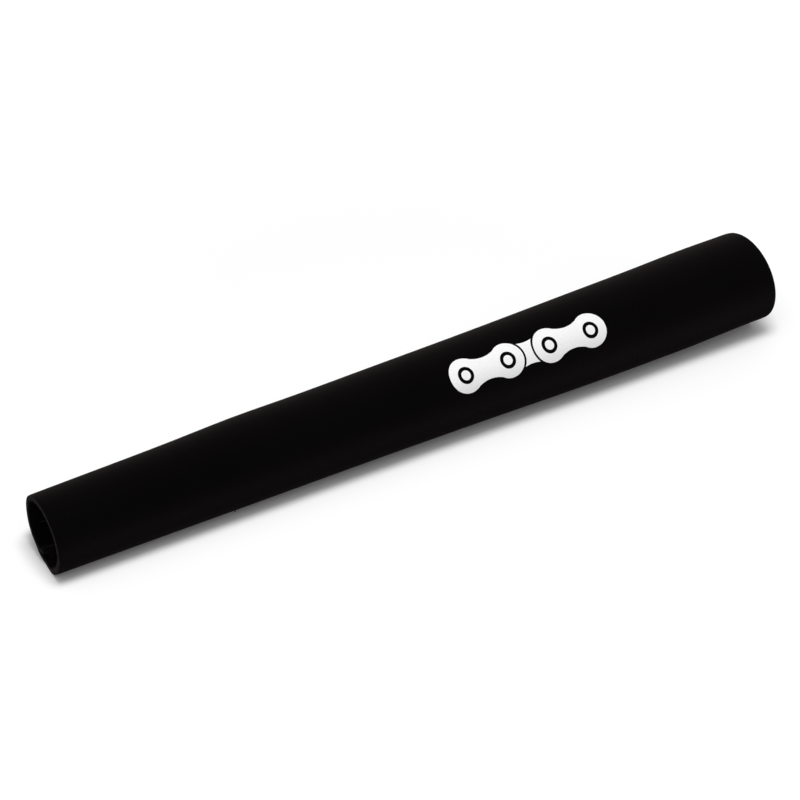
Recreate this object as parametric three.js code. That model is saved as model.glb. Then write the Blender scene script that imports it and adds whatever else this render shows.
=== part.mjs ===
// Chainstay protector: a tapered neoprene sleeve, in millimetres, +Z up.
//
// It is made flat and worn rolled. The flat panel is a trapezoid, narrow towards the dropout.
// A hook strip is sewn to the inner face of one long edge and a loop strip to the outer face of
// the other. Rolled round the chainstay, the edges overlap and the two strips grip.
//
// Every piece is first drawn flat, in panel coordinates:
//   x  along the sleeve, 0 at mid length, positive towards the wide end
//   y  across the panel, 0 on the middle of its printed face
//   z  through the thickness, 0 at mid thickness, positive on the printed face
// and roll() then carries each point to where it lies on the closed sleeve. The sleeve lies at
// rest on its side, with the overlap turned to the bottom and back.

import * as THREE from "three";

// Panel, as cut
const LENGTH = 260;
const NARROW_WIDTH = 90;
const WIDE_WIDTH = 110;
const THICKNESS = 2;

// Hook and loop strips
const STRIP_WIDTH = 15;
const STRIP_THICKNESS = 0.85;
const STRIP_EDGE_MARGIN = 0.5; // from the panel's long edge
const STRIP_END_MARGIN = 2; // from the panel's cut ends
const SEAT_GAP = 0.2; // clearance between neighbouring layers

// How it is rolled
const FACE_ANGLE = 42; // degrees from the top to the middle of the printed face, towards the front
const FLAP_EASE = 15; // run over which a flap leaves the round to clear the other one
const INWARD_SHARE = 0.6; // part of the closure's height that goes into the bore
const CLOSING_OFFSET = 1.5; // outer flap pressed down this much nearer the wide end than the inner

// How it lies
const FLAT_WIDTH = 10; // flat spot under its own weight
const TOUCH = 0.05; // a wall that comes this near the ground is taken to lie on it
const LIP_LIFT = 1.4; // lower lip of the wide mouth, curled up off the ground
const LIP_LENGTH = 34;
const MOUTH_LEAN = 1.65; // how far the wide mouth reaches forward on one side and back on the other
const MOUTH_LEAN_ANGLE = 72; // degrees from the top towards the front
const CUT_BACK = 0.75; // how much shorter the narrow mouth is on one side than on the other
const CUT_BACK_ANGLE = 56; // degrees from the top towards the front

// Soft unevenness of the wall: a rise or hollow centred so far from the narrow end, at an angle
// from the top towards the front, fading out over its reach along the wall and its spread round it
const UNEVENNESS = [
  { from_narrow: 70, angle: -40, height: 0.43, reach: 18, spread: 70 },
  { from_narrow: 107, angle: 130, height: -0.1, reach: 30, spread: 45 },
  { from_narrow: 156, angle: -40, height: -0.21, reach: 34, spread: 70 },
  { from_narrow: 195, angle: 130, height: 0.5, reach: 36, spread: 45 },
  { from_narrow: 240, angle: -40, height: 0.3, reach: 16, spread: 70 },
];

// Fineness of the solids
const STEPS_ALONG = 30;
const STEPS_AROUND = 72;
const STEPS_STRIP = 11;

// Sizes that follow
const OVERLAP = STRIP_WIDTH + 2 * STRIP_EDGE_MARGIN;
const TAPER = (WIDE_WIDTH - NARROW_WIDTH) / LENGTH;
const CLOSURE_HEIGHT = THICKNESS + 2 * STRIP_THICKNESS + 3 * SEAT_GAP; // flap middle to middle
const FLAP_IN = INWARD_SHARE * CLOSURE_HEIGHT;
const FLAP_OUT = CLOSURE_HEIGHT - FLAP_IN;

const radians = THREE.MathUtils.degToRad;
const smooth = (t) => THREE.MathUtils.smoothstep(t, 0, 1);

const flatWidth = (x) => NARROW_WIDTH + TAPER * (x + LENGTH / 2);
const rollRadius = (x) => (flatWidth(x) - OVERLAP) / (2 * Math.PI);

// Angle from the top towards the front. The face's middle sits at FACE_ANGLE, the +y edge goes over
// the top and down the back to become the inner flap, and the -y edge goes down the front and under
// the sleeve to become the outer flap.
const angleAt = (x, y) => radians(FACE_ANGLE) - y / rollRadius(x);

// How far the wall's middle lies outside the round: the outer flap rises and the inner flap sinks,
// each fully within the overlap and easing back to the round beyond it.
function flapShift(x, y) {
  const beyondOverlap = flatWidth(x) / 2 - Math.abs(y) - OVERLAP;
  return (y < 0 ? FLAP_OUT : -FLAP_IN) * (1 - smooth(beyondOverlap / FLAP_EASE));
}

function unevenness(x, angle) {
  let sum = 0;
  for (const spot of UNEVENNESS) {
    const along = (x + LENGTH / 2 - spot.from_narrow) / spot.reach;
    const turn = angle - radians(spot.angle);
    const round = Math.atan2(Math.sin(turn), Math.cos(turn)) / radians(spot.spread);
    sum += spot.height * Math.exp(-along * along - round * round);
  }
  return sum;
}

// Height of the roll's axis, so that its lowest stretch is pressed flat over FLAT_WIDTH
function axisHeight(x) {
  const lowest = rollRadius(x) + FLAP_OUT + THICKNESS / 2;
  return Math.sqrt(lowest ** 2 - (FLAT_WIDTH / 2) ** 2);
}

// How far everything at this place is pushed up by the ground under the outer wall
function groundLift(x, angle) {
  if (Math.cos(angle) > 0) return 0;
  const turned = THREE.MathUtils.euclideanModulo(angle, 2 * Math.PI);
  const y = (radians(FACE_ANGLE) - turned) * rollRadius(x);
  const wall = rollRadius(x) + flapShift(x, y) + THICKNESS / 2 + unevenness(x, angle);
  const height = axisHeight(x) + wall * Math.cos(angle);
  return height < TOUCH ? -height : 0;
}

function lipLift(x, angle) {
  const toMouth = smooth((x - LENGTH / 2 + LIP_LENGTH) / LIP_LENGTH);
  const underneath = ((1 - Math.cos(angle)) / 2) ** 2;
  return LIP_LIFT * toMouth * underneath;
}

// Ends that are cut straight on the flat panel bow a little once the taper is rolled up, step
// where the flaps were closed out of line, lean at the wide mouth and draw back at the narrow one.
function shiftAlong(x, y, angle) {
  const bow = (y * y * TAPER) / (2 * (flatWidth(0) - OVERLAP));
  const step = (-CLOSING_OFFSET * y) / flatWidth(0);
  const toWide = x / LENGTH + 0.5;
  const lean = MOUTH_LEAN * toWide * Math.cos(angle - radians(MOUTH_LEAN_ANGLE));
  const side = (1 + Math.cos(angle - radians(CUT_BACK_ANGLE))) / 2;
  return bow + step + lean + CUT_BACK * (1 - toWide) * side;
}

// From panel coordinates to the closed sleeve at rest
function roll(point) {
  const { x, y, z } = point;
  const angle = angleAt(x, y);
  const radius = rollRadius(x) + flapShift(x, y) + unevenness(x, angle) + z;
  return point.set(
    x + shiftAlong(x, y, angle),
    -radius * Math.sin(angle),
    axisHeight(x) + radius * Math.cos(angle) + groundLift(x, angle) + lipLift(x, angle),
  );
}

// A flat strip of the panel, drawn as a box of small cells and rolled up. edges(x) gives its two
// long edges as y, lower one first, and it lies between the heights low and high above mid panel.
function rolledStrip({ name, material, length, edges, low, high, steps }) {
  const geometry = new THREE.BoxGeometry(length, 1, high - low, STEPS_ALONG, steps, 1);
  const position = geometry.getAttribute("position");
  const point = new THREE.Vector3();
  for (let i = 0; i < position.count; i++) {
    point.fromBufferAttribute(position, i);
    const [from, to] = edges(point.x);
    point.y = THREE.MathUtils.lerp(from, to, point.y + 0.5);
    point.z += (low + high) / 2;
    roll(point);
    position.setXYZ(i, point.x, point.y, point.z);
  }
  geometry.computeVertexNormals();
  const mesh = new THREE.Mesh(geometry, material);
  mesh.name = name;
  return mesh;
}

// The laminated neoprene, cut as a trapezoid
function makeSleeve() {
  return rolledStrip({
    name: "sleeve",
    material: new THREE.MeshStandardMaterial({ color: 0x141011, roughness: 0.85, metalness: 0 }),
    length: LENGTH,
    edges: (x) => [-flatWidth(x) / 2, flatWidth(x) / 2],
    low: -THICKNESS / 2,
    high: THICKNESS / 2,
    steps: STEPS_AROUND,
  });
}

// A fastening strip follows the panel's slanting edge on the given side, +1 or -1.
function makeFastener(name, side, low, high, color) {
  const outer = (x) => side * (flatWidth(x) / 2 - STRIP_EDGE_MARGIN);
  const inner = (x) => side * (flatWidth(x) / 2 - STRIP_EDGE_MARGIN - STRIP_WIDTH);
  return rolledStrip({
    name,
    material: new THREE.MeshStandardMaterial({ color, roughness: 0.9, metalness: 0 }),
    length: LENGTH - 2 * STRIP_END_MARGIN,
    edges: (x) => [outer(x), inner(x)].sort((a, b) => a - b),
    low,
    high,
    steps: STEPS_STRIP,
  });
}

// Hooks face the bore, under the outer flap
function makeHookStrip() {
  const top = -THICKNESS / 2 - SEAT_GAP;
  return makeFastener("hook_strip", -1, top - STRIP_THICKNESS, top, 0x18181a);
}

// Loops face outwards, on the inner flap
function makeLoopStrip() {
  const bottom = THICKNESS / 2 + SEAT_GAP;
  return makeFastener("loop_strip", 1, bottom, bottom + STRIP_THICKNESS, 0x1c1b1d);
}

// The finished part stands on z = 0, centred under its own box
function makeProtector() {
  const group = new THREE.Group();
  group.add(makeSleeve(), makeHookStrip(), makeLoopStrip());
  const box = new THREE.Box3().setFromObject(group);
  const middle = box.getCenter(new THREE.Vector3());
  group.position.set(-middle.x, -middle.y, -box.min.z);
  return group;
}

export default makeProtector();
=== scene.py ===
"""Looks of the chainstay protector: a tapered neoprene sleeve, closed with sewn hook and loop strips.

The panel is worked out flat and carried to its rolled shape by roll(), as the solids are.
Lengths are in millimetres until a mesh is written, which is in metres.
"""
import math

import bmesh
import bpy
import numpy as np
from bpy.props import FloatProperty, FloatVectorProperty, PointerProperty
from mathutils import Matrix, Vector


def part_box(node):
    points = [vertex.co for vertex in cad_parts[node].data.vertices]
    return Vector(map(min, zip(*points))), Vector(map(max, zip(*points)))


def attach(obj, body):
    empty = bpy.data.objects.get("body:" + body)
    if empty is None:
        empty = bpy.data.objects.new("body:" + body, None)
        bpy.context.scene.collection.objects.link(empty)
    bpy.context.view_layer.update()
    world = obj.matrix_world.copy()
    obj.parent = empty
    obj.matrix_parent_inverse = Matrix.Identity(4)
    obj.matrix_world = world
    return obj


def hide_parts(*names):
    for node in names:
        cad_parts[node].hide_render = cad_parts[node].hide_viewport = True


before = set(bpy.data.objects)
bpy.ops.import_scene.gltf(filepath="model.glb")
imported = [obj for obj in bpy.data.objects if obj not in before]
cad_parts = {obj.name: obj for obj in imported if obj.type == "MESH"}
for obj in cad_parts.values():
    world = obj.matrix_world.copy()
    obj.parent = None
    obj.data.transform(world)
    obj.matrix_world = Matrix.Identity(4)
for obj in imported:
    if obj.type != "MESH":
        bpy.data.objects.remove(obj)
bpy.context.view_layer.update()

bl_info = {
    "name": "Chainstay protector",
    "version": (1, 0, 0),
    "blender": (4, 5, 0),
    "location": "3D View > Sidebar > Protector",
    "description": "Builds a rolled neoprene chainstay protector round its packed solids",
    "category": "Object",
}

MM = 0.001

# The panel and how it is rolled, as the solids have it
LENGTH = 260.0
NARROW_WIDTH = 90.0
WIDE_WIDTH = 110.0
THICKNESS = 2.0
STRIP_WIDTH = 15.0
STRIP_THICKNESS = 0.85
STRIP_EDGE_MARGIN = 0.5
STRIP_END_MARGIN = 2.0
SEAT_GAP = 0.2
FACE_ANGLE = math.radians(42)
FLAP_EASE = 15.0
INWARD_SHARE = 0.6
CLOSING_OFFSET = 1.5
FLAT_WIDTH = 10.0
FLAT_SOFTNESS = 0.55
LIP_LIFT = 1.4
LIP_LENGTH = 34.0
MOUTH_LEAN = 1.65
MOUTH_LEAN_ANGLE = math.radians(72)
CUT_BACK = 0.75
CUT_BACK_ANGLE = math.radians(56)

# Rises and hollows of the wall: from the narrow end, angle, height, reach, spread
UNEVENNESS = (
    (70, -40, 0.43, 18, 70),
    (107, 130, -0.1, 30, 45),
    (156, -40, -0.21, 34, 70),
    (195, 130, 0.5, 36, 45),
    (240, -40, 0.3, 16, 70),
)

OVERLAP = STRIP_WIDTH + 2 * STRIP_EDGE_MARGIN
TAPER = (WIDE_WIDTH - NARROW_WIDTH) / LENGTH
CLOSURE_HEIGHT = THICKNESS + 2 * STRIP_THICKNESS + 3 * SEAT_GAP
FLAP_IN = INWARD_SHARE * CLOSURE_HEIGHT
FLAP_OUT = CLOSURE_HEIGHT - FLAP_IN
ROUND_WIDTH = (NARROW_WIDTH + WIDE_WIDTH) / 2 - OVERLAP  # girth of the round at mid length

SOLID_STEPS_ALONG = 30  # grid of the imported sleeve
SOLID_STEPS_AROUND = 72

OUTER_FLAP, INNER_FLAP = -1, 1  # sides of the panel, by the sign of y

# Piece names
SLEEVE = "sleeve_cloth"
HOOKS = "hook_tape"
LOOPS = "loop_tape"
STITCHING = "stitching"
TAIL = "thread_tail"
PRINT = "printed_chain"

# The photograph's view, fitted to the outline of the solids
VIEW_TURN = math.radians(28.927)
VIEW_HEIGHT = math.radians(39.789)
VIEW_RIGHT, VIEW_UP, VIEW_AWAY = -4.063, 10.882, 900.389
VIEW_FOCAL = 2750.0  # pixels of an 800 pixel frame
VIEW_FRAME = 800.0


def from_srgb(red, green, blue):
    """A colour as read off a picture, 0 to 255, as the linear colour that a shader takes."""
    share = np.array([red, green, blue]) / 255
    linear = np.where(share <= 0.04045, share / 12.92, ((share + 0.055) / 1.055) ** 2.4)
    return tuple(float(value) for value in linear)


# The flat panel and the roll

def smooth(t):
    """A smooth rise from 0 at 0 to 1 at 1."""
    t = np.clip(t, 0, 1)
    return t * t * (3 - 2 * t)


def flat_width(x):
    return NARROW_WIDTH + TAPER * (x + LENGTH / 2)


def roll_radius(x):
    return (flat_width(x) - OVERLAP) / (2 * np.pi)


def flap_shift(x, y):
    """The outer flap rises and the inner one sinks within the overlap, easing back beyond it."""
    beyond = flat_width(x) / 2 - np.abs(y) - OVERLAP
    return np.where(y < 0, FLAP_OUT, -FLAP_IN) * (1 - smooth(beyond / FLAP_EASE))


def unevenness(x, angle):
    """Sum of soft bells, each fading with the square of the distance along and round the wall."""
    total = 0
    for start, place, height, reach, spread in UNEVENNESS:
        along = (x + LENGTH / 2 - start) / reach
        turn = angle - math.radians(place)
        around = np.arctan2(np.sin(turn), np.cos(turn)) / math.radians(spread)
        total = total + height * np.exp(-along ** 2 - around ** 2)
    return total


def axis_height(x):
    """Height at which the lowest stretch of the round is pressed flat over FLAT_WIDTH."""
    lowest = roll_radius(x) + FLAP_OUT + THICKNESS / 2
    return np.sqrt(lowest ** 2 - (FLAT_WIDTH / 2) ** 2)


def ground_lift(x, angle):
    """How far the ground pushes up what lies at this angle: the outer wall's depth below it,
    blended by a parabola within FLAT_SOFTNESS of it."""
    y = (FACE_ANGLE - np.mod(angle, 2 * np.pi)) * roll_radius(x)
    wall = roll_radius(x) + flap_shift(x, y) + THICKNESS / 2 + unevenness(x, angle)
    height = axis_height(x) + wall * np.cos(angle)
    blend = (height + FLAT_SOFTNESS) ** 2 / (4 * FLAT_SOFTNESS) - height
    lift = np.where(height <= -FLAT_SOFTNESS, -height, blend)
    return np.where((height >= FLAT_SOFTNESS) | (np.cos(angle) > 0), 0, lift)


def lip_lift(x, angle):
    """The wide mouth's lower lip curls up: a smooth rise towards the mouth, times the fourth power
    of the sine of half the angle."""
    to_mouth = smooth((x - LENGTH / 2 + LIP_LENGTH) / LIP_LENGTH)
    return LIP_LIFT * to_mouth * ((1 - np.cos(angle)) / 2) ** 2


def shift_along(x, y, angle):
    """The cut ends bow with the taper, step where the flaps meet, lean at the wide mouth and draw
    back at the narrow one."""
    bow = y ** 2 * TAPER / (2 * ROUND_WIDTH)
    step = -CLOSING_OFFSET * y / ((NARROW_WIDTH + WIDE_WIDTH) / 2)
    to_wide = x / LENGTH + 0.5
    lean = MOUTH_LEAN * to_wide * np.cos(angle - MOUTH_LEAN_ANGLE)
    side = (1 + np.cos(angle - CUT_BACK_ANGLE)) / 2
    return bow + step + lean + CUT_BACK * (1 - to_wide) * side


def rolled(x, y, z):
    """Panel coordinates to the closed sleeve: y turns round the axis at the local radius, from
    FACE_ANGLE at the top of the front, and z adds to that radius."""
    x, y, z = np.broadcast_arrays(x, y, z)
    angle = FACE_ANGLE - y / roll_radius(x)
    radius = roll_radius(x) + flap_shift(x, y) + unevenness(x, angle) + z
    up = axis_height(x) + radius * np.cos(angle) + ground_lift(x, angle) + lip_lift(x, angle)
    return np.stack([x + shift_along(x, y, angle), -radius * np.sin(angle), up], -1)


def resting_place():
    """The step from rolled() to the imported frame, which brings the box of the same coarse grid
    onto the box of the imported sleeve."""
    x = np.linspace(-LENGTH / 2, LENGTH / 2, SOLID_STEPS_ALONG + 1)[:, None, None]
    y = flat_width(x) * np.linspace(-0.5, 0.5, SOLID_STEPS_AROUND + 1)[:, None]
    z = np.array([-0.5, 0.5]) * THICKNESS
    points = rolled(x, y, z).reshape(-1, 3)
    low, high = (np.array(corner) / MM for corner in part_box("sleeve"))
    step = (low + high) / 2 - (points.min(0) + points.max(0)) / 2
    step[2] = low[2] - points[:, 2].min()
    return step


REST = resting_place()


def roll(x, y, z):
    """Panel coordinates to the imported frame."""
    return rolled(x, y, z) + REST


# Meshes

class Draft:
    """Collects grids of points, then writes them into one mesh."""

    def __init__(self):
        self.points, self.faces, self.places, self.marks = [], [], [], []
        self.count = 0

    def grid(self, points, places, mark=0.0, closed=False):
        """Adds grids of points, indexed [..., row, column, xyz], with their places on the cloth
        as [..., row, column, uv]. A closed grid joins its last column to its first, and has one
        more column of places. The mark is 1 on bare foam."""
        index = np.arange(points[..., 0].size).reshape(points.shape[:-1]) + self.count
        if closed:
            index = np.concatenate([index, index[..., :1]], -1)
        self.points.append(points.reshape(-1, 3))
        self.count += points[..., 0].size
        self.faces.append(corners(index[..., None])[..., 0])
        self.places.append(corners(np.broadcast_to(places, index.shape + (2,))))
        self.marks.append(np.full(self.faces[-1].shape, mark))

    def write(self, name, material, sharp_angle=35.0):
        """Makes the object: welds the grids where they meet, turns the faces outwards and
        shades them smooth, apart from edges sharper than sharp_angle."""
        points = np.concatenate(self.points) * MM
        faces = np.concatenate(self.faces)
        mesh = bpy.data.meshes.new(name)
        mesh.vertices.add(len(points))
        mesh.vertices.foreach_set("co", points.ravel())
        mesh.loops.add(faces.size)
        mesh.loops.foreach_set("vertex_index", faces.ravel().astype(np.int32))
        mesh.polygons.add(len(faces))
        mesh.polygons.foreach_set("loop_start", np.arange(0, faces.size, 4, dtype=np.int32))
        mesh.update(calc_edges=True)
        cloth = mesh.uv_layers.new(name="cloth")
        cloth.uv.foreach_set("vector", (np.concatenate(self.places) * MM).ravel())
        cut = mesh.attributes.new("cut", "FLOAT", "CORNER")
        cut.data.foreach_set("value", np.concatenate(self.marks).ravel())
        joined = bmesh.new()
        joined.from_mesh(mesh)
        bmesh.ops.remove_doubles(joined, verts=joined.verts, dist=1e-7)
        bmesh.ops.recalc_face_normals(joined, faces=joined.faces)
        joined.to_mesh(mesh)
        joined.free()
        mesh.validate()
        mesh.shade_smooth()
        mesh.set_sharp_from_angle(angle=math.radians(sharp_angle))
        mesh.materials.append(material)
        piece = bpy.data.objects.new(name, mesh)
        bpy.context.scene.collection.objects.link(piece)
        return piece


def corners(grid):
    """The four corners of each cell of a grid [..., row, column, value], as [cell, 4, value]."""
    cells = (grid[..., :-1, :-1, :], grid[..., 1:, :-1, :], grid[..., 1:, 1:, :],
             grid[..., :-1, 1:, :])
    return np.stack(cells, -2).reshape(-1, 4, grid.shape[-1])


def clear_piece(name):
    """Takes away what an earlier run of the same operator left."""
    old = bpy.data.objects.get(name)
    if old:
        bpy.data.objects.remove(old, do_unlink=True)


# Materials

class Value:
    """An output of a node. An operator on values adds its Math node, and node() adds any other:
    its settings are set first, and then the numbers or links of its inputs."""

    def __init__(self, tree, socket):
        self.tree, self.socket = tree, socket

    def node(self, kind, settings=None, inputs=None, output=0):
        node = self.tree.nodes.new(kind)
        for name, setting in (settings or {}).items():
            setattr(node, name, setting)
        for key, value in (inputs or {}).items():
            if isinstance(value, Value):
                self.tree.links.new(value.socket, node.inputs[key])
            else:
                node.inputs[key].default_value = value
        return Value(self.tree, node.outputs[output])

    def other(self, output):
        """Another output of the node that this one comes from."""
        return Value(self.tree, self.socket.node.outputs[output])

    def math(self, operation, *values):
        return self.node("ShaderNodeMath", {"operation": operation}, dict(enumerate(values)))

    def __add__(self, other):
        return self.math("ADD", self, other)

    __radd__ = __add__

    def __sub__(self, other):
        return self.math("SUBTRACT", self, other)

    def __rsub__(self, other):
        return self.math("SUBTRACT", other, self)

    def __mul__(self, other):
        return self.math("MULTIPLY", self, other)

    __rmul__ = __mul__

    def __truediv__(self, other):
        return self.math("DIVIDE", self, other)

    def __rtruediv__(self, other):
        return self.math("DIVIDE", other, self)

    def __pow__(self, power):
        return self.math("POWER", self, power)

    def __rpow__(self, base):
        return self.math("POWER", base, self)

    def __abs__(self):
        return self.math("ABSOLUTE", self)

    def __mod__(self, whole):
        return self.math("FLOORED_MODULO", self, whole)

    def __rmod__(self, other):
        return self.math("FLOORED_MODULO", other, self)

    def sine(self):
        return self.math("SINE", self)

    def steps(self, low, high):
        """0 below low and 1 above high, with a smooth rise between."""
        return self.node("ShaderNodeMapRange", {"interpolation_type": "SMOOTHSTEP"},
                         {"Value": self, "From Min": low, "From Max": high})

    def blend(self, first, second):
        """The colour first where self is 0, and second where it is 1."""
        return self.node("ShaderNodeMix", {"data_type": "RGBA"},
                         {0: self, 6: colour(first), 7: colour(second)}, output=2)


def colour(value):
    """A colour as a node's input takes it."""
    return value if isinstance(value, Value) else (*value[:3], 1)


def new_material(name):
    """A material with its Principled shader, and a Value to start its formulas from."""
    material = bpy.data.materials.new(name)
    material.use_nodes = True
    shader = material.node_tree.nodes["Principled BSDF"]
    return material, shader, Value(material.node_tree, shader.outputs[0])


def finish_material(start, shader, constants, base, roughness, height, relief, strength):
    """Links what varies, a height in shares of relief millimetres among it, and sets the rest."""
    for name, value in constants.items():
        shader.inputs[name].default_value = value
    bump = start.node("ShaderNodeBump", None,
                      {"Strength": strength, "Distance": relief * MM, "Height": height})
    for name, value in (("Base Color", base), ("Roughness", roughness), ("Normal", bump)):
        start.tree.links.new(value.socket, shader.inputs[name])


def cloth_place(start):
    """Place on the cloth in millimetres: along the sleeve, and across the panel."""
    place = start.node("ShaderNodeUVMap", {"uv_map": "cloth"})
    parts = start.node("ShaderNodeSeparateXYZ", None, {0: place})
    return parts * (1 / MM), parts.other(1) * (1 / MM)


def object_place(start):
    """Place in the object's own space, in metres."""
    return start.node("ShaderNodeTexCoord", None, None, output=3)


def object_noise(start, size, detail=2.0, roughness=0.5):
    """Soft noise of about that size in millimetres, in the object's own space."""
    return start.node("ShaderNodeTexNoise", None,
                      {"Vector": object_place(start), "Scale": 1 / (size * MM), "Detail": detail,
                       "Roughness": roughness})


def darker(shade, share):
    """That share of a colour's light."""
    return tuple(part * share for part in shade)


LEG_SLANT = 1.1  # how steeply a leg climbs, in courses to a wale
LEG_RELIEF = 0.55  # share of the rib's height that the legs take up


def knit_height(along, across, wale, course):
    """Plain jersey: columns of slanting legs. Each column is a rounded rib, and the legs are a
    sine along it, whose phase runs ahead with the distance from the column's middle."""
    side = abs((across / wale) % 1 - 0.5)
    rib = 1 - (side * 2) ** 2
    legs = ((along / course + side * LEG_SLANT) * (2 * math.pi)).sine() * 0.5 + 0.5
    return rib * (legs * LEG_RELIEF + (1 - LEG_RELIEF))


FUZZ_SIZE = 0.25
PATCH_SIZE = 22.0  # of slight changes in tone
PORE_SIZE = 0.28
FOAM_CORE = (0.64, 0.78)  # from mid wall, where the foam ends and the skin's edge begins


def cloth_material(settings):
    """Neoprene: a knitted skin on both faces, and where it is cut, open foam between the two
    skins' edges. On a cut face the place across is the height in the wall."""
    material, shader, start = new_material("neoprene_jersey")
    along, across = cloth_place(start)
    knit = knit_height(along, across, settings.wale / MM, settings.course / MM)
    cut = start.node("ShaderNodeAttribute", {"attribute_name": "cut"}, None, output=2)
    cut = cut * (1 - abs(across).steps(*FOAM_CORE))
    # Painted shade: the foam is darker in its pores, the pits of the Voronoi cells that also set its
    # bump.
    pores = start.node("ShaderNodeTexVoronoi", None,
                       {"Vector": object_place(start), "Scale": 1 / (PORE_SIZE * MM),
                        "Randomness": 1.0}).steps(0.1, 0.55)
    fuzz = object_noise(start, FUZZ_SIZE)
    patches = object_noise(start, PATCH_SIZE, detail=3)
    # Painted shade: the skin takes the darker skin_shadow colour in the knit's hollows, where the
    # knit is low. The fuzz and patches add random tone.
    tone = (knit * 0.5 + fuzz * 0.4 + 0.5) * (patches * 0.5 + 0.75)
    skin = tone.steps(0.35, 1.45).blend(settings.skin_shadow, settings.skin)
    foam = pores.blend(settings.foam_pore_shade, settings.foam)
    height = knit * 0.8 + fuzz * 0.2
    finish_material(
        start, shader,
        {
            "Metallic": 0.0,
            "Specular IOR Level": settings.gloss,
            "Sheen Weight": settings.sheen,
            "Sheen Roughness": 0.45,
            "Sheen Tint": (*settings.sheen_tint, 1),
        },
        base=cut.blend(skin, foam),
        roughness=0.9 - knit * 0.12,
        height=height * (1 - cut) + pores * cut * 1.5,
        relief=0.12,
        strength=0.6,
    )
    return material


WARP_PITCH, WEFT_PITCH = 0.5, 0.6


def tape_material(name, shade, fibre_size):
    """Woven nylon tape: a plain weave, the product of a sine across and a sine along, with fibres
    of about that size in millimetres on it."""
    material, shader, start = new_material(name)
    along, across = cloth_place(start)
    warp = (across * (2 * math.pi / WARP_PITCH)).sine()
    weft = (along * (2 * math.pi / WEFT_PITCH)).sine()
    weave = warp * weft * 0.5 + 0.5
    fibres = object_noise(start, fibre_size, detail=3, roughness=0.6)
    # Painted shade: the tape is darker where the weave and fibres lie low, in the hollows of the
    # weave. The fibres add random tone.
    tone = weave * 0.5 + fibres * 0.5
    finish_material(
        start, shader,
        {"Metallic": 0.0, "Specular IOR Level": 0.3, "Sheen Weight": 0.05,
         "Sheen Roughness": 0.4},
        base=tone.steps(0.25, 0.8).blend(darker(shade, 0.45), shade),
        roughness=0.75 - weave * 0.2,
        height=tone,
        relief=0.15,
        strength=0.8,
    )
    return material


TWIST_LENGTH = 0.9
THREAD_GIRTH = 0.95
FIBRE_SIZE = 0.08


def thread_material(settings):
    """Two-ply thread: a slanting twist along each stitch."""
    material, shader, start = new_material("sewing_thread")
    along, around = cloth_place(start)
    twist = ((along / TWIST_LENGTH + around / THREAD_GIRTH) * (4 * math.pi)).sine() * 0.5 + 0.5
    fibres = object_noise(start, FIBRE_SIZE)
    # Painted shade: the thread is darker in the grooves of its twist. The fibres add random tone.
    tone = (twist * 0.7 + fibres * 0.3).steps(0.1, 0.9)
    finish_material(
        start, shader,
        {"Metallic": 0.0, "Specular IOR Level": 0.3, "Sheen Weight": 0.08},
        base=tone.blend(darker(settings.thread, 0.35), settings.thread),
        roughness=0.7 - twist * 0.15,
        height=twist * 0.8 + fibres * 0.2,
        relief=0.05,
        strength=0.7,
    )
    return material


INK_GRAIN = 0.3


def ink_material(settings, cloth):
    """Transfer print: white ink that thins out in the hollows of the knit below it."""
    material, shader, start = new_material("white_transfer")
    along, across = cloth_place(start)
    knit = knit_height(along, across, cloth.wale / MM, cloth.course / MM)
    grain = object_noise(start, INK_GRAIN, detail=3)
    cover = (knit * 0.45 + grain * 0.8).steps(0.2, 0.62)
    finish_material(
        start, shader,
        {"Metallic": 0.0, "Specular IOR Level": 0.25},
        base=cover.blend(settings.thin_ink, settings.ink),
        roughness=0.7 - knit * 0.1,
        height=knit,
        relief=0.05,
        strength=0.5,
    )
    return material


# Settings

class ClothSettings(bpy.types.PropertyGroup):
    """The neoprene panel's skin, cut edges and knit."""

    skin: FloatVectorProperty(
        name="Skin", description="Colour of the knitted skin on its ribs", subtype="COLOR",
        default=from_srgb(9, 8, 8), min=0, max=1)
    # Painted shade: the colour the skin takes in the knit's hollows.
    skin_shadow: FloatVectorProperty(
        name="Skin hollows", description="Colour between the ribs", subtype="COLOR",
        default=from_srgb(5, 4, 4), min=0, max=1)
    foam: FloatVectorProperty(
        name="Foam", description="Colour of the foam where the panel is cut", subtype="COLOR",
        default=from_srgb(25, 23, 23), min=0, max=1)
    # Painted shade: the colour the foam takes in its pits.
    foam_pore_shade: FloatVectorProperty(
        name="Foam pores", description="Colour in the pores of the foam", subtype="COLOR",
        default=from_srgb(9, 8, 8), min=0, max=1)
    sheen_tint: FloatVectorProperty(
        name="Sheen tint", description="Colour of the fuzz at a grazing view", subtype="COLOR",
        default=(1.0, 0.86, 0.85), min=0, max=1)
    sheen: FloatProperty(
        name="Sheen", description="Strength of the fuzz at a grazing view", subtype="FACTOR",
        default=0.12, min=0, max=1)
    gloss: FloatProperty(
        name="Gloss", description="Specular level of the skin", subtype="FACTOR",
        default=0.0, min=0, max=1)
    wale: FloatProperty(
        name="Wale", description="Width of one column of the knit", unit="LENGTH",
        default=0.00062, min=0.0002)
    course: FloatProperty(
        name="Course", description="Length of one stitch of the knit", unit="LENGTH",
        default=0.00048, min=0.0002)
    pinch: FloatProperty(
        name="Edge pinch", description="How far the skin is drawn in at a cut edge",
        unit="LENGTH", default=0.0001, min=0)
    groove: FloatProperty(
        name="Groove depth", description="How deep a row of stitches draws the skin in",
        unit="LENGTH", default=0.00036, min=0)


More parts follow.
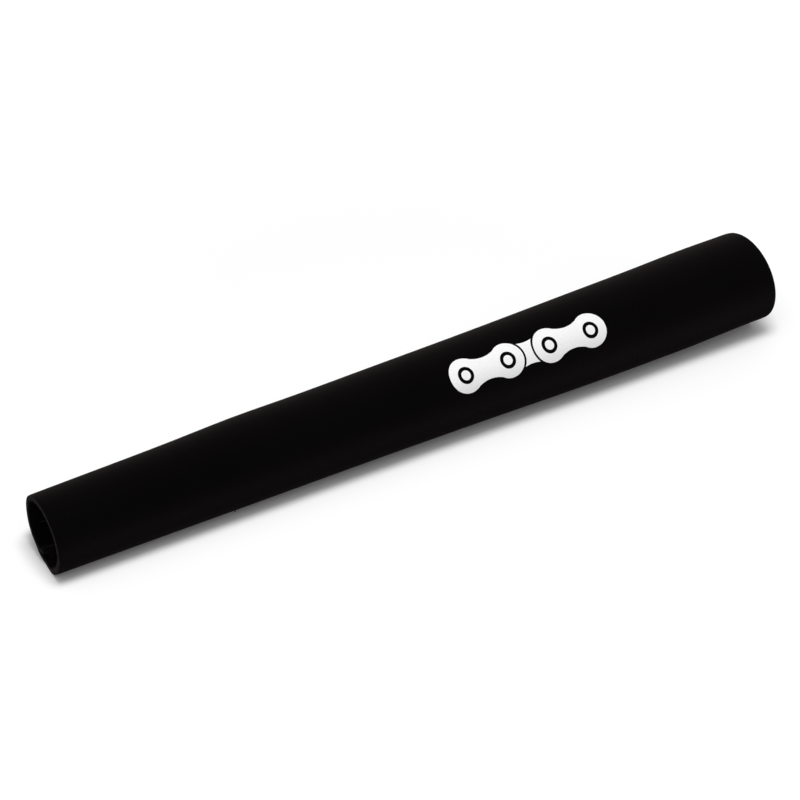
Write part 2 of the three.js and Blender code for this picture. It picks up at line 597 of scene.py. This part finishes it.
class TapeSettings(bpy.types.PropertyGroup):
    """The hook and loop strips."""

    hook: FloatVectorProperty(
        name="Hook tape", description="Colour of the hook strip", subtype="COLOR",
        default=from_srgb(30, 30, 32), min=0, max=1)
    loop: FloatVectorProperty(
        name="Loop tape", description="Colour of the loop strip", subtype="COLOR",
        default=from_srgb(34, 33, 35), min=0, max=1)
    hook_pitch: FloatProperty(
        name="Hook pitch", description="Distance between rows of hooks", unit="LENGTH",
        default=0.0016, min=0.0005)
    selvedge: FloatProperty(
        name="Selvedge", description="Bare edge beside the pile", unit="LENGTH",
        default=0.0011, min=0)


class StitchSettings(bpy.types.PropertyGroup):
    """The lockstitch rows and the loose thread end."""

    thread: FloatVectorProperty(
        name="Thread", description="Colour of the sewing thread", subtype="COLOR",
        default=from_srgb(30, 26, 27), min=0, max=1)
    length: FloatProperty(
        name="Stitch length", description="Distance between needle holes", unit="LENGTH",
        default=0.00275, min=0.001)
    thickness: FloatProperty(
        name="Thread thickness", description="Diameter of the thread", unit="LENGTH",
        default=0.0003, min=0.0001)


class PrintSettings(bpy.types.PropertyGroup):
    """The printed chain."""

    ink: FloatVectorProperty(
        name="Ink", description="Colour of the full print", subtype="COLOR",
        default=from_srgb(252, 252, 253), min=0, max=1)
    thin_ink: FloatVectorProperty(
        name="Thin ink", description="Colour where the knit shows through", subtype="COLOR",
        default=from_srgb(226, 225, 228), min=0, max=1)
    pitch: FloatProperty(
        name="Pin distance", description="Distance between two pins of the chain",
        unit="LENGTH", default=0.0155, min=0.005)
    film: FloatProperty(
        name="Film", description="Height of the print above the skin", unit="LENGTH",
        default=0.00006, min=0)


class StageSettings(bpy.types.PropertyGroup):
    """Floor, lights and surroundings."""

    overhead: FloatProperty(
        name="Overhead", description="Strength of the even light from straight above",
        default=0.275, min=0)
    wash: FloatProperty(
        name="Front wash", description="Strength of the wide light above the front",
        default=2.15, min=0)
    key: FloatProperty(
        name="Key light", description="Power of the soft box overhead", unit="POWER",
        default=7.85, min=0)
    floor_bounce: FloatProperty(
        name="Floor bounce", description="How much light the floor gives back to the object",
        subtype="FACTOR", default=0.05, min=0, max=1)
    floor_glow: FloatProperty(
        name="Floor lift", description="What the camera sees added to the floor",
        subtype="FACTOR", default=0.045, min=0, max=1)


# The sleeve

ROW_INSET = 1.6  # rows of stitches, from the edges of the strip
ROW_DISTANCES = (STRIP_EDGE_MARGIN + ROW_INSET, STRIP_EDGE_MARGIN + STRIP_WIDTH - ROW_INSET)
ROW_END = 3.0  # first and last needle hole, from the cut ends
ROW_FADE = 2.0  # over which the grooves fade out, about the last holes
GROOVE_WIDTH = 0.5
PUCKER = 0.28  # between two holes a groove is shallower by twice this share
QUILT_WIDTH = 2.4
QUILT_DEPTH = 0.14
PINCH_REACH = 0.6
FOAM_BULGE = 0.1
CORNER_EASE = 0.8  # over which the bulge dies out towards a corner


def edge_distance(x, y):
    """How far a place on the panel is from its nearest cut edge."""
    return np.minimum(LENGTH / 2 - np.abs(x), flat_width(x) / 2 - np.abs(y))


def stitch_dent(x, y, side, groove, stitch):
    """Depth of the grooves along one flap's two rows: a bell across the row, deeper at the needle
    holes by a cosine along it, and a wide shallow one for the quilting beside it."""
    inset = flat_width(x) / 2 - side * y
    fade = smooth((LENGTH / 2 - ROW_END - np.abs(x)) / ROW_FADE + 0.5)
    dent = 0
    for distance in ROW_DISTANCES:
        away = inset - distance
        hole = np.cos(2 * np.pi * (x + LENGTH / 2 - ROW_END) / stitch)
        pucker = 1 - PUCKER + PUCKER * hole
        dent = dent + groove * pucker * np.exp(-(away / GROOVE_WIDTH) ** 2)
        dent = dent + QUILT_DEPTH * np.exp(-(away / QUILT_WIDTH) ** 2)
    return dent * fade


def skin_height(x, y, side, cloth, stitch):
    """Height of a skin above mid panel, counted outwards on that face. The outer face, side -1,
    carries the outer flap's rows, and the inner face the inner flap's."""
    pinch = cloth.pinch / MM * np.exp(-(edge_distance(x, y) / PINCH_REACH) ** 2)
    dent = stitch_dent(x, y, side, cloth.groove / MM, stitch.length / MM)
    return THICKNESS / 2 - pinch - dent


def stitch_count(pitch):
    return int((LENGTH - 2 * ROW_END) / pitch)


def along_samples(pitch):
    """Places along the sleeve: four to a stitch, with closer ones by the cut ends."""
    near = np.array([0, 0.15, 0.4, 0.8, 1.3, 2.1])
    half = LENGTH / 2
    stitches = ROW_END - half + pitch / 4 * np.arange(4 * stitch_count(pitch) + 1)
    return np.concatenate([near - half, stitches, half - near[::-1]])


QUILT_REACH = 3.7  # from the inner row to the end of the flap's columns
BARE_COLUMNS = 14
MIDDLE_COLUMNS = 60


def across_samples(x, side):
    """Places across one skin for each x. On the flap whose rows it carries they lie at fixed
    distances from the long edge, closer by the rows, on the other flap they are few, and between
    the flaps they are even."""
    near_edge = np.array([0, 0.15, 0.4, 0.8])
    near_row = np.array([-0.9, -0.6, -0.35, -0.15, 0, 0.15, 0.35, 0.6, 0.9])
    first, second = ROW_DISTANCES
    reach = second + QUILT_REACH
    sewn = np.concatenate([near_edge, first + near_row, np.arange(4, 13), second + near_row,
                           reach - np.array([2, 1, 0])])
    bare = np.concatenate([near_edge, np.linspace(1.6, reach, BARE_COLUMNS)])
    middle = np.linspace(0, 1, MIDDLE_COLUMNS + 2)[1:-1]
    half = flat_width(x)[:, None] / 2
    y = np.concatenate([sewn - half, (half - reach) * (2 * middle - 1), half - bare[::-1]], 1)
    return y if side == OUTER_FLAP else -y[:, ::-1]


def make_sleeve(cloth, stitch):
    """The rolled panel as a closed shell: two skins, and four strips of bare foam that bulge a
    little, by a parabola through the thickness."""
    draft = Draft()
    x = along_samples(stitch.length / MM)
    skins = []
    for side in (OUTER_FLAP, INNER_FLAP):
        y = across_samples(x, side)
        place = np.stack(np.broadcast_arrays(x[:, None], y), -1)
        height = -side * skin_height(*np.moveaxis(place, -1, 0), side, cloth, stitch)
        draft.grid(roll(place[..., 0], y, height), place)
        skins.append(np.concatenate([place, height[..., None]], -1))

    depth = np.linspace(0, 1, 6)[:, None]
    bulge = FOAM_BULGE * 4 * depth[:, 0] * (1 - depth[:, 0])
    for edge in (0, -1):
        for pick in (np.s_[edge], np.s_[:, edge]):
            outer, inner = skins[0][pick][:, None], skins[1][pick][:, None]
            x, y, level = np.moveaxis(outer * (1 - depth) + inner * depth, -1, 0)
            at_end = pick == edge
            from_corner = flat_width(x) / 2 - np.abs(y) if at_end else LENGTH / 2 - np.abs(x)
            push = bulge * smooth(from_corner / CORNER_EASE)
            place = np.stack([y if at_end else x, level], -1)
            out_x, out_y = (np.sign(x) * push, 0) if at_end else (0, np.sign(y) * push)
            draft.grid(roll(x + out_x, y + out_y, level), place, mark=1.0)
    return draft.write(SLEEVE, cloth_material(cloth))


# The hook and loop strips

TAPE_GROUND = 0.4  # thickness of the woven ground below the pile
TAPE_THINNING = 0.3  # share by which the ground thins towards its edges
TAPE_THIN_REACH = 0.5
PILE_RISE = 0.6  # over which the pile rises from the selvedge
PILE_START = 1.9
PILE_COLUMNS = 26
TAPE_ROWS = 340


def make_tape(name, side, low, high, pile, material, tape):
    """A strip on one flap as a closed shell. Its pile, on the low face on the outer flap and on
    the high one on the inner flap, stands on the woven ground and stops short of the selvedges."""
    draft = Draft()
    half = LENGTH / 2 - STRIP_END_MARGIN
    x = np.linspace(-half, half, TAPE_ROWS)[:, None]
    near_edge = np.array([0, 0.3, 0.8, 1.1, 1.4])
    across = np.concatenate([near_edge,
                             np.linspace(PILE_START, STRIP_WIDTH - PILE_START, PILE_COLUMNS),
                             STRIP_WIDTH - near_edge[::-1]])
    y = side * (flat_width(x) / 2 - STRIP_EDGE_MARGIN - across)
    x = np.broadcast_to(x, y.shape)
    inset = np.minimum(np.minimum(across, STRIP_WIDTH - across), half - np.abs(x))
    ground = TAPE_GROUND * (1 - TAPE_THINNING * (1 - smooth(inset / TAPE_THIN_REACH)))
    cover = smooth((inset - tape.selvedge / MM) / PILE_RISE + 0.5)
    height = ground + (high - low - TAPE_GROUND) * cover * pile(x, y)
    back = np.full(y.shape, high if side == OUTER_FLAP else low)
    front = back + side * height
    place = np.stack([x, y], -1)
    draft.grid(roll(x, y, front), place)
    draft.grid(roll(x, y, back), place)
    depth = np.linspace(0, 1, 3)
    for edge in (0, -1):
        for pick in (np.s_[edge, :], np.s_[:, edge]):
            row_x, row_y = x[pick][:, None], y[pick][:, None]
            level = front[pick][:, None] * (1 - depth) + back[pick][:, None] * depth
            place = np.stack(np.broadcast_arrays(row_x + row_y, level), -1)
            draft.grid(roll(row_x, row_y, level), place)
    return draft.write(name, material)


HOOK_SHARE = 0.3  # of the pile's height
HOOK_SPACING = 0.9  # of two hooks in a row, in pitches


def hook_pile(pitch):
    """Rows of hooks: a product of two squared sines, staggered from row to row."""
    def height(x, y):
        row = np.sin(np.pi * x / pitch) ** 2
        stagger = 0.5 * np.floor(x / pitch)
        column = np.sin(np.pi * (y / (HOOK_SPACING * pitch) + stagger)) ** 2
        return 1 - HOOK_SHARE + HOOK_SHARE * row * column
    return height


def loop_pile(x, y):
    """A brushed mat of loops: three waves that run at odd angles to each other."""
    waves = (np.sin(2.3 * x + 1.1 * y) + np.sin(1.3 * x - 2.9 * y + 1) + np.sin(3.7 * x + 3.1 * y))
    return 0.88 + 0.04 * waves


# Stitching

STITCH_SIDES, TAIL_SIDES = 6, 8


def tube(path, side, normal, radius, sides):
    """Rings round a path [..., step, xyz] with the given radius at each step, spanned by the
    side and normal directions."""
    angle = np.linspace(0, 2 * np.pi, sides, endpoint=False)[:, None]
    ring = np.cos(angle) * side[..., None, :] + np.sin(angle) * normal[..., None, :]
    return path[..., None, :] + radius[..., None, None] * ring


def frame_along(path, up):
    """Side and normal directions of a path, kept square to it, with the normal towards up."""
    ahead = np.gradient(path, axis=-2)
    ahead /= np.linalg.norm(ahead, axis=-1, keepdims=True)
    side = np.cross(ahead, up)
    side /= np.linalg.norm(side, axis=-1, keepdims=True)
    return side, np.cross(side, ahead)


def thread_places(path, radius, sides):
    """Places on the thread: millimetres along it, and round it."""
    length = np.linalg.norm(np.diff(path, axis=-2), axis=-1).cumsum(-1)
    length = np.concatenate([np.zeros(length.shape[:-1] + (1,)), length], -1)
    turn = np.linspace(0, 2 * np.pi * radius, sides + 1)
    return np.stack(np.broadcast_arrays(length[..., None], turn), -1)


HOLE_DEPTH = 0.5
STITCH_SLANT = 0.1  # across the row, from its middle to either hole


def make_stitching(cloth, stitch, thread):
    """Two rows on each flap. Each stitch rises from its needle hole as a root of a sine, lies in
    the groove, slants a little across the row, and dives into the next hole."""
    draft = Draft()
    pitch, radius = stitch.length / MM, stitch.thickness / MM / 2
    start = -LENGTH / 2 + ROW_END + pitch * np.arange(stitch_count(pitch))[:, None]
    t = np.array([0, 0.04, 0.13, 0.3, 0.5, 0.7, 0.87, 0.96, 1])
    thick = radius * np.array([0, 0.75, 1, 1, 1, 1, 1, 0.75, 0])
    rise = (radius * 0.85 + HOLE_DEPTH) * np.sin(np.pi * t) ** 0.6 - HOLE_DEPTH
    for side in (OUTER_FLAP, INNER_FLAP):
        for distance in ROW_DISTANCES:
            x = start + pitch * t
            row = side * (flat_width(x) / 2 - distance)
            y = row + STITCH_SLANT * (2 * t - 1)
            skin = skin_height(x, row, side, cloth, stitch)
            path = roll(x, y, -side * (skin + rise))
            above = roll(x, y, -side * (skin + rise + 0.1)) - path
            across, normal = frame_along(path, above)
            rings = tube(path, across, normal, np.broadcast_to(thick, x.shape), STITCH_SIDES)
            rings[..., 2] = np.maximum(rings[..., 2], 0.0)
            draft.grid(rings, thread_places(path, radius, STITCH_SIDES), closed=True)
    return draft.write(STITCHING, thread, sharp_angle=80)


TAIL_PLACE = (-65.2, -4.75)
TAIL_REACH = (-3.0, -1.5)
TAIL_CURL = 0.34  # radius of the turn
TAIL_CURL_FROM = 0.66  # share of its length where the turn begins
TAIL_STEPS = 48
TAIL_TURNS = 0.8
TAIL_RISE = 0.45
TAIL_CLEARANCE = 0.02  # above the ground
TAIL_POINT = 0.05  # share of the tail that narrows at either end


def make_tail(stitch, thread):
    """A loose end of thread that comes out from under the front of the sleeve: a parabola on the
    ground, whose last third is wound into most of a rising turn."""
    draft = Draft()
    radius = stitch.thickness / MM / 2
    t = np.linspace(0, 1, TAIL_STEPS)
    curl = np.clip((t - TAIL_CURL_FROM) / (1 - TAIL_CURL_FROM), 0, 1)
    turn = 2 * np.pi * TAIL_TURNS * curl
    x = TAIL_PLACE[0] + TAIL_REACH[0] * t - TAIL_CURL * np.sin(turn)
    y = TAIL_PLACE[1] + TAIL_REACH[1] * t ** 2 - TAIL_CURL * (1 - np.cos(turn))
    z = radius + TAIL_CLEARANCE + TAIL_RISE * curl ** 2
    path = np.stack([x, y, z], -1)
    thick = radius * np.minimum(1, np.minimum(t, 1 - t) / TAIL_POINT) ** 0.5
    across, normal = frame_along(path, np.array([0.0, 0.0, 1.0]))
    rings = tube(path, across, normal, thick, TAIL_SIDES)
    draft.grid(rings, thread_places(path, radius, TAIL_SIDES), closed=True)
    return draft.write(TAIL, thread, sharp_angle=80)


# The print

PRINT_CENTRE = (37.0, 0.0)
PINS = 4
PLATE_RADIUS = 5.6
PLATE_HOLE = 2.7
PIN_RADIUS = 1.55
PLATE_GAP = 0.7
WAIST = 3.5  # half height at the narrowest place between two pins
RING_STEPS = 96
RING_STEP = 2 * math.pi / RING_STEPS
OUTER_WEB_STEPS, INNER_WEB_STEPS = 14, 10  # steps of the ring from the middle to a web's shoulder


def ring_patch(centre, inner, outer):
    """A flat ring: the angle goes round it, and the radius from inner to outer."""
    angle = np.arange(RING_STEPS + 1) * RING_STEP
    radius = np.linspace(inner, outer, 7)[:, None]
    return np.stack([centre + radius * np.cos(angle), radius * np.sin(angle)], -1)


def waist_patch(left, right, radius, steps):
    """The web between two pins: each line along it runs from an arc round the left pin to one
    round the right pin, which go so many ring steps up and down. Its half height is a parabola,
    WAIST in the middle and growing to the ends of the arcs."""
    middle = (left + right) / 2
    shoulder = radius * np.sin(steps * RING_STEP)
    reach = (right - left) / 2 - radius * np.cos(steps * RING_STEP)
    height = radius * np.sin(np.arange(-steps, steps + 1) * RING_STEP)[:, None]
    start = left + np.sqrt(radius ** 2 - height ** 2)
    t = np.linspace(0, 1, 17)
    u = start + (2 * (middle - start)) * t
    grow = (shoulder - WAIST) * ((u - middle) / reach) ** 2
    at_arc = WAIST + (shoulder - WAIST) * ((start - middle) / reach) ** 2
    return np.stack([u, height / at_arc * (WAIST + grow)], -1)


def make_print(ink, cloth):
    """A run of bicycle chain: two outer plates on four pins, and the inner plate between them,
    as flat white shapes that follow the cloth."""
    draft = Draft()
    pitch = ink.pitch / MM
    pins = (np.arange(PINS) - (PINS - 1) / 2) * pitch
    patches = []
    for first in range(0, PINS, 2):
        for pin in pins[first:first + 2]:
            patches.append(ring_patch(pin, PLATE_HOLE, PLATE_RADIUS))
            patches.append(ring_patch(pin, 0, PIN_RADIUS))
        patches.append(waist_patch(*pins[first:first + 2], PLATE_RADIUS, OUTER_WEB_STEPS))
    for first in range(1, PINS - 1, 2):
        radius = PLATE_RADIUS + PLATE_GAP
        patches.append(waist_patch(*pins[first:first + 2], radius, INNER_WEB_STEPS))
    for patch in patches:
        x, y = PRINT_CENTRE[0] + patch[..., 0], PRINT_CENTRE[1] + patch[..., 1]
        draft.grid(roll(x, y, THICKNESS / 2 + ink.film / MM), np.stack([x, y], -1))
    piece = draft.write(PRINT, ink_material(ink, cloth))
    film = piece.modifiers.new("film", "SOLIDIFY")
    film.thickness = 2 * ink.film
    film.offset = -1
    rim = piece.modifiers.new("rim", "EDGE_SPLIT")
    rim.split_angle = math.radians(40)
    return piece


# The stage

FLOOR_NEAR, FLOOR_FAR = 100.0, 420.0  # the floor fades to plain white between these
FLOOR_FADE = 0.6  # light added to the floor where it is plain white
FLOOR_RINGS = (0, 300, 1000, 4000)


def floor_material(stage):
    """White cloth under the camera's eye, and a duller one for the light it gives back."""
    material, shader, start = new_material("floor_white")
    path = start.node("ShaderNodeLightPath")
    seen = (path.other("Is Camera Ray") + path.other("Is Glossy Ray")
            + path.other("Is Transmission Ray")).steps(0, 1)
    bounce = stage.floor_bounce
    diffuse = start.node("ShaderNodeBsdfDiffuse", None,
                         {"Color": seen.blend((bounce,) * 3, (1.0, 1.0, 1.0))})
    away = start.node("ShaderNodeVectorMath", {"operation": "LENGTH"}, {0: object_place(start)},
                      output=1)
    lift = away.steps(FLOOR_NEAR * MM, FLOOR_FAR * MM) * FLOOR_FADE + stage.floor_glow
    glow = start.node("ShaderNodeEmission", None,
                      {"Color": (1, 1, 1, 1), "Strength": seen * lift})
    both = start.node("ShaderNodeAddShader", None, {0: diffuse, 1: glow})
    output = start.tree.nodes["Material Output"]
    start.tree.links.new(both.socket, output.inputs["Surface"])
    start.tree.nodes.remove(shader)
    return material


def make_floor(stage):
    """A wide round floor at the height of the object's lowest point: rings about the middle."""
    draft = Draft()
    angle = np.linspace(0, 2 * np.pi, 65)
    radius = np.array(FLOOR_RINGS)[:, None]
    x, y = radius * np.cos(angle), radius * np.sin(angle)
    points = np.stack([x, y, np.zeros(x.shape)], -1)
    draft.grid(points, points[..., :2])
    floor = draft.write("floor", floor_material(stage))
    if floor.data.polygons[0].normal.z < 0:
        floor.data.flip_normals()


LAMP_PLACE = (-0.068, -0.270, 1.167)
LAMP_WIDTH = 0.4
WASH_DIRECTION = (-0.244, -0.345, 0.906)
WASH_POWER = 12


def make_lights(stage):
    """A round soft box overhead, a little to the front, an even light that grows with the sine of
    its height, and a wide wash above the front that fades as a high power of the cosine of the
    angle to its middle."""
    box = bpy.data.lights.new("soft_box", "AREA")
    box.shape = "DISK"
    box.size = LAMP_WIDTH
    box.energy = stage.key
    lamp = bpy.data.objects.new("soft_box", box)
    bpy.context.scene.collection.objects.link(lamp)
    lamp.location = LAMP_PLACE
    lamp.rotation_euler = (-lamp.location).to_track_quat("-Z", "Y").to_euler()

    world = bpy.data.worlds.new("surroundings")
    bpy.context.scene.world = world
    world.use_nodes = True
    background = world.node_tree.nodes["Background"]
    start = Value(world.node_tree, background.outputs[0])
    path = start.node("ShaderNodeLightPath")
    seen = (path.other("Is Camera Ray") + path.other("Is Transmission Ray")).steps(0, 1)
    direction = start.node("ShaderNodeTexCoord")
    up = start.node("ShaderNodeVectorMath", {"operation": "DOT_PRODUCT"},
                    {0: direction, 1: (0, 0, 1)}, output=1)
    front = start.node("ShaderNodeVectorMath", {"operation": "DOT_PRODUCT"},
                       {0: direction, 1: WASH_DIRECTION}, output=1)
    light = (up.math("MAXIMUM", up, 0) * stage.overhead
             + front.math("MAXIMUM", front, 0) ** WASH_POWER * stage.wash)
    strength = seen + (1 - seen) * light
    start.tree.links.new(strength.socket, background.inputs["Strength"])
    background.inputs["Color"].default_value = (1, 1, 1, 1)


def make_camera():
    """The photograph's view: turned and tipped round the frame's origin, then stepped right, up
    and away from it."""
    camera = bpy.data.cameras.new("camera")
    camera.sensor_fit = "HORIZONTAL"
    camera.sensor_width = 36.0
    camera.lens = VIEW_FOCAL * camera.sensor_width / VIEW_FRAME
    camera.clip_start, camera.clip_end = 0.01, 50.0
    view = bpy.data.objects.new("camera", camera)
    bpy.context.scene.collection.objects.link(view)
    turn = Matrix.Rotation(-VIEW_TURN, 4, "Z") @ Matrix.Rotation(math.pi / 2 - VIEW_HEIGHT, 4, "X")
    step = Matrix.Translation(Vector((VIEW_RIGHT, VIEW_UP, VIEW_AWAY)) * MM)
    view.matrix_world = turn @ step
    bpy.context.scene.camera = view


# Operators

class PROTECTOR_OT_stage(bpy.types.Operator):
    """Sets up the floor, the lights and the camera"""

    bl_idname = "protector.stage"
    bl_label = "Stage"

    def execute(self, context):
        make_floor(context.scene.protector_stage)
        make_lights(context.scene.protector_stage)
        make_camera()
        context.scene.view_settings.view_transform = "Standard"
        return {"FINISHED"}


class PROTECTOR_OT_sleeve(bpy.types.Operator):
    """Makes the rolled neoprene panel"""

    bl_idname = "protector.sleeve"
    bl_label = "Neoprene sleeve"

    def execute(self, context):
        clear_piece(SLEEVE)
        scene = context.scene
        sleeve = make_sleeve(scene.protector_cloth, scene.protector_stitch)
        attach(sleeve, "root")
        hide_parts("sleeve")
        return {"FINISHED"}


class PROTECTOR_OT_tapes(bpy.types.Operator):
    """Makes the hook strip and the loop strip between the flaps"""

    bl_idname = "protector.tapes"
    bl_label = "Hook and loop strips"

    def execute(self, context):
        tape = context.scene.protector_tape
        inner = -THICKNESS / 2 - SEAT_GAP
        outer = THICKNESS / 2 + SEAT_GAP
        rows = (
            (HOOKS, OUTER_FLAP, inner - STRIP_THICKNESS, inner, hook_pile(tape.hook_pitch / MM),
             tape.hook, 0.5, "hook_strip", "hook_tape"),
            (LOOPS, INNER_FLAP, outer, outer + STRIP_THICKNESS, loop_pile,
             tape.loop, 0.3, "loop_strip", "loop_tape"),
        )
        for name, side, low, high, pile, shade, fibre_size, node, slot in rows:
            clear_piece(name)
            material = tape_material(name + "_nylon", shade, fibre_size)
            piece = make_tape(name, side, low, high, pile, material, tape)
            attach(piece, "root")
            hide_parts(node)
        return {"FINISHED"}


class PROTECTOR_OT_stitching(bpy.types.Operator):
    """Sews the strips on, with one loose thread end"""

    bl_idname = "protector.stitching"
    bl_label = "Stitching"

    def execute(self, context):
        clear_piece(STITCHING)
        clear_piece(TAIL)
        cloth, stitch = context.scene.protector_cloth, context.scene.protector_stitch
        thread = thread_material(stitch)
        pieces = (make_stitching(cloth, stitch, thread), make_tail(stitch, thread))
        for piece in pieces:
            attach(piece, "root")
        return {"FINISHED"}


class PROTECTOR_OT_print(bpy.types.Operator):
    """Prints a run of chain on the face"""

    bl_idname = "protector.print"
    bl_label = "Printed chain"

    def execute(self, context):
        clear_piece(PRINT)
        piece = make_print(context.scene.protector_print, context.scene.protector_cloth)
        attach(piece, "root")
        return {"FINISHED"}


class PROTECTOR_OT_declare(bpy.types.Operator):
    """Does nothing."""

    bl_idname = "protector.declare"
    bl_label = "Flat size"

    def execute(self, context):
        return {"FINISHED"}


OPERATORS = (PROTECTOR_OT_stage, PROTECTOR_OT_sleeve, PROTECTOR_OT_tapes, PROTECTOR_OT_stitching,
             PROTECTOR_OT_print, PROTECTOR_OT_declare)

SETTINGS = {
    "protector_cloth": ClothSettings,
    "protector_tape": TapeSettings,
    "protector_stitch": StitchSettings,
    "protector_print": PrintSettings,
    "protector_stage": StageSettings,
}


class PROTECTOR_PT_sidebar(bpy.types.Panel):
    """Lists the settings and the operators"""

    bl_label = "Chainstay protector"
    bl_space_type = "VIEW_3D"
    bl_region_type = "UI"
    bl_category = "Protector"

    def draw(self, context):
        for operator in OPERATORS:
            self.layout.operator(operator.bl_idname)
        for name, group in SETTINGS.items():
            box = self.layout.box()
            for setting in group.__annotations__:
                box.prop(getattr(context.scene, name), setting)


def register():
    for group in (*SETTINGS.values(), *OPERATORS, PROTECTOR_PT_sidebar):
        bpy.utils.register_class(group)
    for name, group in SETTINGS.items():
        setattr(bpy.types.Scene, name, PointerProperty(type=group))


def unregister():
    for name in SETTINGS:
        delattr(bpy.types.Scene, name)
    for group in (PROTECTOR_PT_sidebar, *OPERATORS, *SETTINGS.values()):
        bpy.utils.unregister_class(group)


def main():
    register()
    bpy.ops.protector.stage()
    bpy.ops.protector.sleeve()
    bpy.ops.protector.tapes()
    bpy.ops.protector.stitching()
    bpy.ops.protector.print()
    bpy.ops.protector.declare()


if __name__ == "__main__":
    main()
